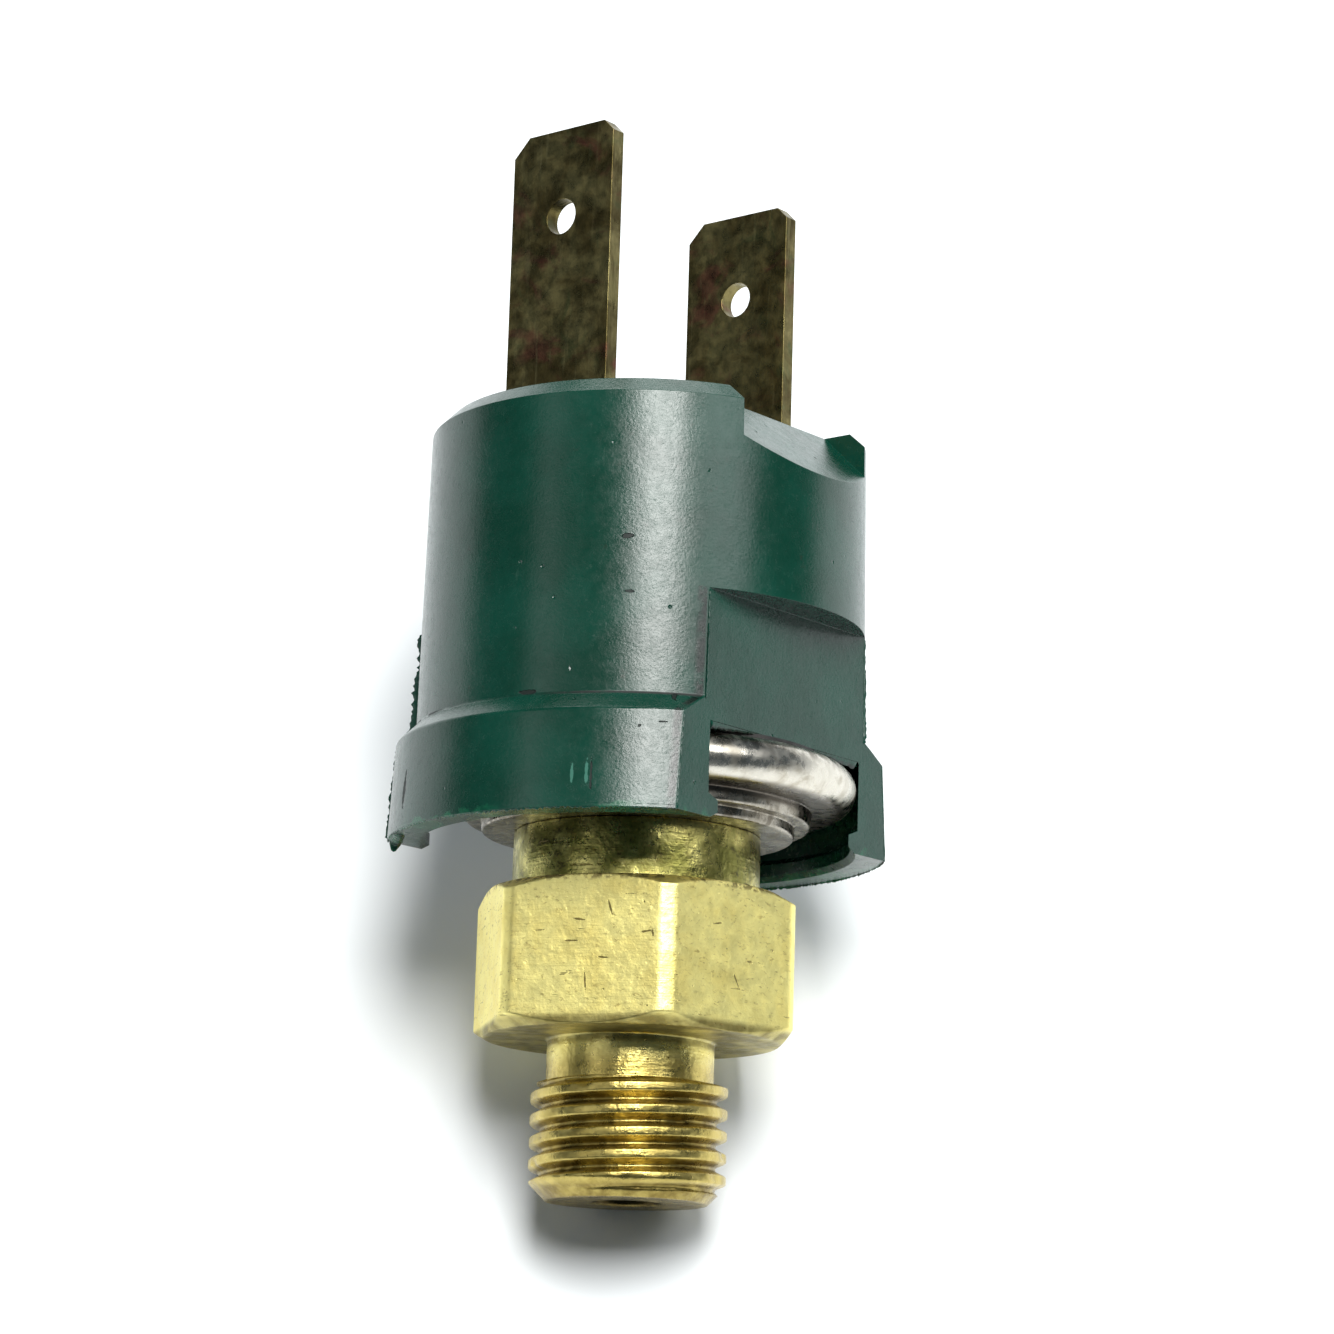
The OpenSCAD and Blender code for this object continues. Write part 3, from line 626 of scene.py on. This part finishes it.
def housing_finish():
    f = Finish("green_glass_filled_plastic", IOR=1.50)
    z = f.axis("Z")
    # two greens in clouds, darker specks, and brown grime in patches
    cloud = f.noise(0.22, 5, 0.6)
    speck = f.noise(5.0, 3, 0.6)
    green = f.blend(f.ramp(cloud, 0.35, 0.68), (0.0008, 0.0320, 0.0185), (0.0018, 0.0460, 0.0285))
    green = f.blend(f.ramp(speck, 0.60, 0.78, 0, 0.45), green, (0.0010, 0.022, 0.014))
    grime = f.times(f.ramp(f.noise(1.7, 6, 0.68), 0.60, 0.74), f.ramp(f.noise(0.3, 2), 0.45, 0.65))
    green = f.blend(f.times(grime, 0.5), green, (0.018, 0.016, 0.009))
    # painted shade: a dark line in the crease where the skirt begins, on the round walls only
    off_middle = f.maths("ABSOLUTE", f.axis("X"))
    crease_shade = f.times(f.near(z, STEP_Z + 0.02, 0.02, 0.09), f.ramp(f.noise(0.7, 4), 0.34, 0.46))
    sideways = f.ramp(off_middle, 2.0, 5.0, 0.2, 1)
    crease_shade = f.times(crease_shade, f.times(sideways, f.ramp(off_middle, FLAT_X - 0.16, FLAT_X - 0.06, 1, 0)))
    green = f.blend(crease_shade, green, (0.0012, 0.0045, 0.003))
    # painted shade: dark lines along the flats' edges, below the ledge
    beside = f.ramp(off_middle, FLAT_X - 0.42, FLAT_X - 0.22)
    edge = f.times(beside, f.ramp(off_middle, FLAT_X - 0.09, FLAT_X - 0.04, 1, 0))
    below_ledge = f.ramp(z, LEDGE_Z, LEDGE_Z + 0.1, 1, 0)
    edge = f.times(edge, f.times(f.ramp(f.noise(1.6, 4), 0.36, 0.5, 0.3, 1), below_ledge))
    # painted shade beside the flats' edges
    green = f.blend(f.times(edge, 0.95), green, (0.0012, 0.0060, 0.0035))
    # a paler, worn line along the skirt's foot
    uneven = f.plus(z, f.ramp(f.noise(1.5, 4), 0.3, 0.7, -0.25, 0.25))
    worn = f.times(f.ramp(uneven, SKIRT_Z + 0.05, SKIRT_Z + 0.32, 1, 0), f.ramp(f.noise(0.5, 3), 0.45, 0.58))
    green = f.blend(f.times(worn, 0.8), green, (0.008, 0.105, 0.050))
    # scuffs, nicks and rubs
    scuffs = f.ramp(f.noise(3.2, 4, 0.7, 0.4, f.stretched(1, 1, 0.16, (0.3, 0.2, 0))), 0.66, 0.78)
    green = f.blend(f.times(scuffs, 0.25), green, (0.035, 0.10, 0.07))
    nicks = f.marks(NICKS, wall_radius)
    rubbed = f.marks(RUBS, wall_radius)
    green = f.blend(f.times(nicks, 0.9), green, (0.001, 0.004, 0.003))
    green = f.blend(f.times(rubbed, 0.45), green, (0.10, 0.30, 0.23))
    f.colour(green)
    # glossier in clouds, duller in flecks, on the marks and on the top face
    fleck = f.ramp(f.noise(3.6, 5, 0.75, 0.3), 0.57, 0.70)
    fleck = f.times(fleck, f.ramp(f.noise(0.45, 3), 0.40, 0.60, 0.15, 1))
    matt = f.plus(f.times(scuffs, 0.14), f.times(f.larger(nicks, crease_shade), 0.4))
    top_face = f.ramp(z, SHELL_HIGH[2] - 0.04, SHELL_HIGH[2] - 0.01, 0, 0.3)
    clouds = f.ramp(f.noise(2.1, 6, 0.68), 0.3, 0.7, 0.20, 0.29)
    f.gloss(f.plus(clouds, f.plus(matt, f.plus(top_face, f.times(fleck, 0.16)))))
    # waviness, orange peel, small round dents, and the nicks' depth
    f.relief(f.noise(0.32, 2, 0.5), 0.03)
    f.relief(f.noise(6.5, 4, 0.62), 0.010)
    dents = f.ramp(f.cells(0.8), 0.02, 0.10)
    f.relief(f.larger(dents, f.ramp(f.noise(0.9, 1), 0.44, 0.5)), 0.05)
    f.relief(f.rest(nicks), 0.10)
    return f.material


def brass_finish():
    f = Finish("turned_brass", metallic=1.0, roughness=0.3)
    z = f.axis("Z")
    # clean brass on the hexagon; browner on the shank, partly tarnish and partly painted shade; painted shade
    # at the hexagon's foot; browner on the collar
    tone = f.noise(0.5, 6, 0.62, 0.3)
    gold = f.blend(f.ramp(tone, 0.30, 0.62), (0.90, 0.765, 0.26), (0.985, 0.875, 0.335))
    # the shank's tone: tarnished brass, darkened further as painted shade
    shank = f.ramp(z, -1.6, -0.3, 1, 0)
    tarnish_and_shade = f.blend(f.ramp(f.noise(0.9, 5, 0.6), 0.4, 0.62), (0.34, 0.25, 0.060), (0.52, 0.40, 0.115))
    gold = f.blend(f.times(shank, 0.85), gold, tarnish_and_shade)
    # painted shade along the hexagon's underside
    foot = f.times(f.near(z, 0.0, 0.25, 0.62), f.ramp(f.noise(0.6, 4), 0.35, 0.6, 0.6, 0.95))
    gold = f.blend(foot, gold, (0.22, 0.18, 0.055))
    collar = f.times(f.ramp(z, 7.02, 7.3), f.ramp(f.noise(0.7, 7, 0.68, 0.4), 0.33, 0.60, 0.45, 0.97))
    gold = f.blend(collar, gold, (0.22, 0.21, 0.050))
    # stains, soil at the top of the hexagon and on the collar, pits and scratches
    stain = f.times(f.ramp(f.noise(1.9, 7, 0.72, 0.8), 0.62, 0.72), f.ramp(f.noise(0.4, 2), 0.46, 0.62))
    gold = f.blend(f.times(stain, 0.5), gold, (0.24, 0.17, 0.05))
    soil = f.times(f.ramp(f.noise(1.4, 6, 0.7, 0.4), 0.56, 0.68), f.ramp(z, 6.6, 7.6))
    gold = f.blend(f.times(soil, 0.8), gold, (0.055, 0.045, 0.02))
    pits = f.times(f.ramp(f.cells(2.3), 0.07, 0.13, 1, 0), f.ramp(f.noise(1.2, 3), 0.56, 0.66))
    gold = f.blend(f.times(pits, 0.8), gold, (0.13, 0.09, 0.02))
    scratch = f.ramp(f.noise(1.0, 3, 0.6, 0.3, f.stretched(0.35, 0.35, 4.2, (0.5, 0.25, 0.2))), 0.665, 0.70)
    scratch = f.times(scratch, f.ramp(f.noise(2.6, 3), 0.46, 0.56))
    gold = f.blend(f.times(scratch, 0.7), gold, (0.22, 0.16, 0.05))
    fleck = f.ramp(f.noise(3.4, 5, 0.72, 0.5, f.stretched(0.8, 0.8, 1.7)), 0.555, 0.66)
    fleck = f.times(fleck, f.ramp(f.noise(0.55, 3), 0.38, 0.56, 0.35, 1))
    gold = f.blend(f.times(fleck, 0.65), gold, (0.36, 0.26, 0.075))
    f.relief(f.noise(2.3, 4, 0.6), 0.035)
    # dirt along the hexagon's upper brim, and the cuts in its faces
    brim = f.times(f.near(z, HEX_H - 0.08, 0.05, 0.3), f.ramp(f.noise(2.4, 4), 0.47, 0.56))
    gold = f.blend(f.times(brim, 0.75), gold, (0.14, 0.10, 0.035))
    cuts = f.marks(HEX_CUTS, lambda height: HEX_AF / 2)
    gold = f.blend(f.times(cuts, 0.85), gold, (0.13, 0.09, 0.025))
    f.relief(f.rest(cuts), 0.06)
    # dirt in the thread's grooves, and painted shade down the port
    from_axis = f.radius()
    deep = f.ramp(from_axis, THREAD_R - 0.42, THREAD_R - 0.12, 1, 0)
    root = f.times(deep, f.ramp(z, -NECK_LEN - 0.25, -NECK_LEN - 0.05, 1, 0))
    root = f.times(root, f.ramp(f.noise(1.1, 5, 0.6), 0.36, 0.6, 0.35, 0.9))
    gold = f.blend(root, gold, (0.19, 0.135, 0.035))
    # painted shade: the port's bore near black
    gold = f.blend(f.ramp(from_axis, PORT_R + 0.02, PORT_R + 0.16, 0.94, 0), gold, (0.030, 0.021, 0.008))
    f.colour(gold)
    # the hexagon's faces and the stains are duller than the turned parts
    milled = f.times(f.ramp(z, -0.1, 0.1), f.ramp(z, 7.0, 7.2, 1, 0))
    clouds = f.ramp(f.noise(1.4, 6, 0.66), 0.3, 0.72, 0.24, 0.38)
    f.gloss(f.plus(clouds, f.times(f.larger(stain, milled), 0.18)))
    # waviness, grain, turning lines, and the depth of pits and scratches
    f.relief(f.noise(0.8, 4, 0.55), 0.05)
    f.relief(f.noise(7, 5, 0.65), 0.012)
    f.relief(f.noise(9, 2, 0.5, 0, f.stretched(0.04, 0.04, 1)), 0.010)
    f.relief(f.rest(f.larger(pits, scratch)), 0.05)
    return f.material


def capsule_finish():
    f = Finish("crimped_steel", metallic=1.0)
    z = f.axis("Z")
    bottom = CUP_LOW[2]
    # stained sheet, painted shade in the groove under the bead and a brown painted shade below it, and soiled
    # along the rim
    stain = f.ramp(f.noise(0.8, 6, 0.66, 0.5), 0.46, 0.68)
    tone = f.blend(f.times(stain, 0.55), (0.66, 0.62, 0.54), (0.30, 0.25, 0.17))
    # painted shade in the groove under the bead
    tone = f.blend(f.near(z, bottom + 1.2, 0.12, 0.34, 0.9), tone, (0.060, 0.048, 0.036))
    # painted shade: the sheet below the bead darker and browner
    below = f.ramp(z, bottom + 0.9, bottom + 1.25, 1, 0)
    below = f.times(below, f.ramp(f.noise(0.9, 5, 0.65, 0.4), 0.38, 0.58, 0.95, 0.55))
    tone = f.blend(below, tone, (0.13, 0.110, 0.080))
    rim = f.ramp(z, CUP_HIGH[2] - 0.9, CUP_HIGH[2] - 0.35)
    rim = f.times(rim, f.ramp(f.noise(1.3, 5, 0.6), 0.4, 0.56))
    tone = f.blend(f.times(rim, 0.7), tone, (0.10, 0.075, 0.05))
    f.colour(tone)
    f.gloss(f.ramp(f.noise(1.6, 5, 0.6), 0.3, 0.7, 0.20, 0.38))
    f.relief(f.noise(0.5, 2, 0.5), 0.05)
    f.relief(f.noise(6, 4, 0.6), 0.008)
    return f.material


def blade_finish():
    f = Finish("tarnished_brass", metallic=1.0, roughness=0.34)
    # brown tarnish in clouds, with red and green patches and paler streaks up the blade
    tone = f.noise(0.42, 6, 0.64, 0.4)
    brown = f.blend(f.ramp(tone, 0.36, 0.64), (0.105, 0.080, 0.026), (0.27, 0.225, 0.090))
    red = f.ramp(f.noise(0.33, 5, 0.6, 0.8, f.stretched(1, 1, 1.4)), 0.54, 0.70)
    brown = f.blend(f.times(red, 0.6), brown, (0.20, 0.055, 0.045))
    green = f.ramp(f.noise(0.5, 4, 0.6, 0.8, f.stretched(1.3, 1, 0.8, (0.4, 0, 0))), 0.58, 0.72)
    brown = f.blend(f.times(green, 0.45), brown, (0.075, 0.115, 0.045))
    streak = f.ramp(f.noise(2.4, 4, 0.6, 0, f.stretched(1, 1, 0.08)), 0.56, 0.72, 0, 0.35)
    brown = f.blend(streak, brown, (0.42, 0.36, 0.17))
    f.colour(brown)
    f.gloss(f.ramp(f.noise(1.3, 5, 0.62), 0.3, 0.7, 0.26, 0.46))
    f.relief(f.noise(0.7, 3, 0.5), 0.07)
    f.relief(f.noise(8, 4, 0.6, 0, f.stretched(1, 1, 0.12)), 0.008)
    return f.material


def plain_metal(name, light, dark, low, high):
    """Satin metal: two tones of cloud, a fine grain and a faint waviness."""
    f = Finish(name, metallic=1.0)
    f.colour(f.blend(f.ramp(f.noise(1.1, 5, 0.6), 0.35, 0.68), light, dark))
    f.gloss(f.ramp(f.noise(2.2, 4, 0.6), 0.3, 0.7, low, high))
    f.relief(f.noise(6.0, 4, 0.6), 0.008)
    f.relief(f.noise(0.9, 2, 0.5), 0.03)
    return f.material


def plain_body(name, light, dark, low, high, depth=0.012):
    """Moulded, fired or poured stuff: two tones of cloud, specks and a fine grain."""
    f = Finish(name)
    tone = f.blend(f.ramp(f.noise(0.8, 5, 0.6), 0.35, 0.68), light, dark)
    f.colour(f.blend(f.ramp(f.noise(7, 3, 0.6), 0.62, 0.78, 0, 0.4), tone, tuple(0.6 * c for c in dark)))
    f.gloss(f.ramp(f.noise(1.8, 4, 0.6), 0.3, 0.7, low, high))
    f.relief(f.noise(5.0, 4, 0.6), depth)
    return f.material


GREEN, BRASS, STEEL, BLADE = housing_finish(), brass_finish(), capsule_finish(), blade_finish()
# what is inside: light and dark tone, least and greatest roughness, and where it is fine the grain's depth
INNER = {
    "seal_rubber": plain_body("black_rubber", (0.016, 0.016, 0.016), (0.030, 0.029, 0.028), 0.55, 0.75),
    "film": plain_body("amber_film", (0.50, 0.20, 0.022), (0.38, 0.14, 0.014), 0.22, 0.36, 0.004),
    "disc_steel": plain_metal("spring_steel", (0.60, 0.59, 0.57), (0.46, 0.45, 0.42), 0.22, 0.36),
    "base_moulding": plain_body("filled_thermoset", (0.018, 0.016, 0.014), (0.034, 0.030, 0.026), 0.45, 0.62),
    "ceramic": plain_body("white_ceramic", (0.84, 0.81, 0.73), (0.74, 0.70, 0.60), 0.42, 0.58, 0.008),
    "capsule_steel": plain_metal("stamped_steel", (0.66, 0.64, 0.60), (0.48, 0.45, 0.39), 0.26, 0.40),
    "spring_copper": plain_metal("copper_alloy", (0.72, 0.40, 0.20), (0.55, 0.28, 0.12), 0.24, 0.38),
    "contact_silver": plain_metal("silver", (0.86, 0.84, 0.80), (0.68, 0.65, 0.60), 0.20, 0.34),
    "rivet_brass": plain_metal("drawn_brass", (0.76, 0.56, 0.22), (0.56, 0.40, 0.14), 0.26, 0.40),
    "epoxy": plain_body("black_epoxy", (0.010, 0.010, 0.011), (0.020, 0.020, 0.021), 0.22, 0.40, 0.010),
}


def give(piece, material):
    piece.data.materials.clear()
    piece.data.materials.append(material)


# ---------------------------------------------------------------- pieces
def place_piece(piece, material, slot, *nodes):
    give(piece, material)
    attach(piece, "switch_body")
    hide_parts(*nodes)


def on_step(at):
    """Whether a place is on the sloped step from the skirt to the body, clear of the flats."""
    return STEP_Z - 1.1 < at.z < STEP_Z + 0.1 and abs(at.x) < FLAT_X - 0.05


fitting = outward(grid_piece("turned_fitting", fitting_points(), wrap_rows=True, wrap_columns=True))
place_piece(shade(fitting, 50), BRASS, "brass_fitting", "port_fitting")
sheet = turned(capsule_profile(), 256)
capsule = outward(grid_piece("rolled_capsule", sheet, wrap_rows=True, wrap_columns=True))
place_piece(shade(capsule, 50), STEEL, "capsule_steel", "capsule_cup")
shell = finish_copy("moulded_shell", "housing", 0.55, segments=5, small=0.2, softer=on_step)
place_piece(shell, GREEN, "housing_plastic", "housing")
fins = flash()
give(fins, GREEN)
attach(fins, "switch_body")
left_blade = finish_copy("left_blade", "arm_terminal", 0.06, segments=2)
place_piece(left_blade, BLADE, "blade_brass", "arm_terminal")
right_blade = finish_copy("right_blade", "contact_terminal", 0.06, segments=2)
place_piece(right_blade, BLADE, "blade_brass", "contact_terminal")
potting = outward(grid_piece("poured_epoxy", potting_points(), wrap_rows=True, wrap_columns=True))
place_piece(shade(potting, 50), INNER["epoxy"], "epoxy", "terminal_potting")

for part in frame["record"]["subparts"]:
    if not NODES[part["node"]].hide_render:
        give(NODES[part["node"]], INNER[part["material_slot"]])


# ---------------------------------------------------------------- camera
AZ, EL, ROLL = math.radians(38.96), math.radians(-12.33), math.radians(1.72)
DISTANCE, LENS, SENSOR = 200 * MM, 109.5, 36
toward = Vector((math.sin(AZ) * math.cos(EL), -math.cos(AZ) * math.cos(EL), math.sin(EL)))
across = Vector((math.cos(AZ), math.sin(AZ), 0))
upward = toward.cross(across)
middle = Vector((0, 0, 18.3 * MM))
aim = middle + across * 1.199 * MM + upward * 0.303 * MM
camera_data = bpy.data.cameras.new("camera")
camera_data.lens = LENS
camera_data.sensor_width = SENSOR
camera_data.clip_start = 0.01
camera_data.clip_end = 10
camera = linked("camera", camera_data)
right = across * math.cos(ROLL) + upward * math.sin(ROLL)
top = upward * math.cos(ROLL) - across * math.sin(ROLL)
turn = Matrix((right, top, toward)).transposed().to_4x4()
camera.matrix_world = Matrix.Translation(aim + toward * DISTANCE) @ turn
bpy.context.scene.camera = camera


# ---------------------------------------------------------------- table
# the switch lies on its back: the table touches the skirt's foot and the thread's end on the far side
level = Vector((toward.x, toward.y, 0)).normalized()
skirt_back = -level * SKIRT_LOW_R * MM + Vector((0, 0, SKIRT_Z * MM))
thread_back = -level * THREAD_R * MM + Vector((0, 0, (FIT_LOW[2] + THREAD_LEAD) * MM))
along = (skirt_back - thread_back).normalized()
normal = along.cross(across).normalized()
normal = normal if normal.dot(toward) > 0 else -normal


def table_points():
    """A flat square of the table: a centre plus two level directions times a spread."""
    side = np.linspace(-1500, 1500, 3)
    clearance = 0.15
    centre = np.array(skirt_back) / MM - np.array(normal) * clearance
    u, v = np.array(across), np.array(normal.cross(across))
    return centre + side[:, None, None] * u + side[None, :, None] * v


def table_finish():
    """Matt white in front, and clear from behind, so that it hides nothing in a view from below."""
    material = bpy.data.materials.new("white_table")
    material.use_nodes = True
    tree = material.node_tree
    shader = tree.nodes["Principled BSDF"]
    shader.inputs["Base Color"].default_value = (0.875, 0.905, 0.925, 1)
    shader.inputs["Roughness"].default_value = 0.9
    clear = tree.nodes.new("ShaderNodeBsdfTransparent")
    side = tree.nodes.new("ShaderNodeNewGeometry")
    mix = tree.nodes.new("ShaderNodeMixShader")
    tree.links.new(side.outputs["Backfacing"], mix.inputs[0])
    tree.links.new(shader.outputs[0], mix.inputs[1])
    tree.links.new(clear.outputs[0], mix.inputs[2])
    tree.links.new(mix.outputs[0], tree.nodes["Material Output"].inputs["Surface"])
    return material


table = grid_piece("table", table_points())
if table.data.polygons[0].normal.dot(normal) < 0:
    table.data.flip_normals()
give(table, table_finish())


# ---------------------------------------------------------------- light
def softbox(name, direction, distance, width, height, power, tint=(1, 1, 1)):
    """An area light at a direction and distance from the switch's middle, facing it."""
    data = bpy.data.lights.new(name, "AREA")
    data.shape, data.size, data.size_y = "RECTANGLE", width * MM, height * MM
    data.energy, data.color = power, tint
    lamp = linked(name, data)
    lamp.location = aim + direction.normalized() * distance * MM
    lamp.rotation_mode = "QUATERNION"
    lamp.rotation_quaternion = (-direction).to_track_quat("-Z", "Y")


rise = normal.cross(across).normalized()
rise = rise if rise.z > 0 else -rise
softbox("window", normal + across * 0.10 + rise * 0.03, 600, 230, 330, 4.9, (1.0, 0.995, 0.975))
softbox("wall", normal + across * 0.75 + rise * 0.12, 700, 330, 330, 1.35, (0.97, 0.99, 1.0))
softbox("far_wall", normal - across * 1.1 - rise * 0.42, 700, 320, 320, 0.22)
softbox("doorway", level * 0.62 - across * 0.79 + Vector((0, 0, 0.21)), 600, 90, 320, 0.09)
softbox("top_wall", Vector((0, 0, 1)) - level * 0.12, 500, 300, 170, 0.7)
world = bpy.data.worlds.new("room")
world.use_nodes = True
room = world.node_tree.nodes["Background"]
room.inputs["Color"].default_value = (0.68, 0.86, 1.0, 1)
room.inputs["Strength"].default_value = 0.10
bpy.context.scene.world = world
bpy.context.scene.view_settings.view_transform = "Standard"
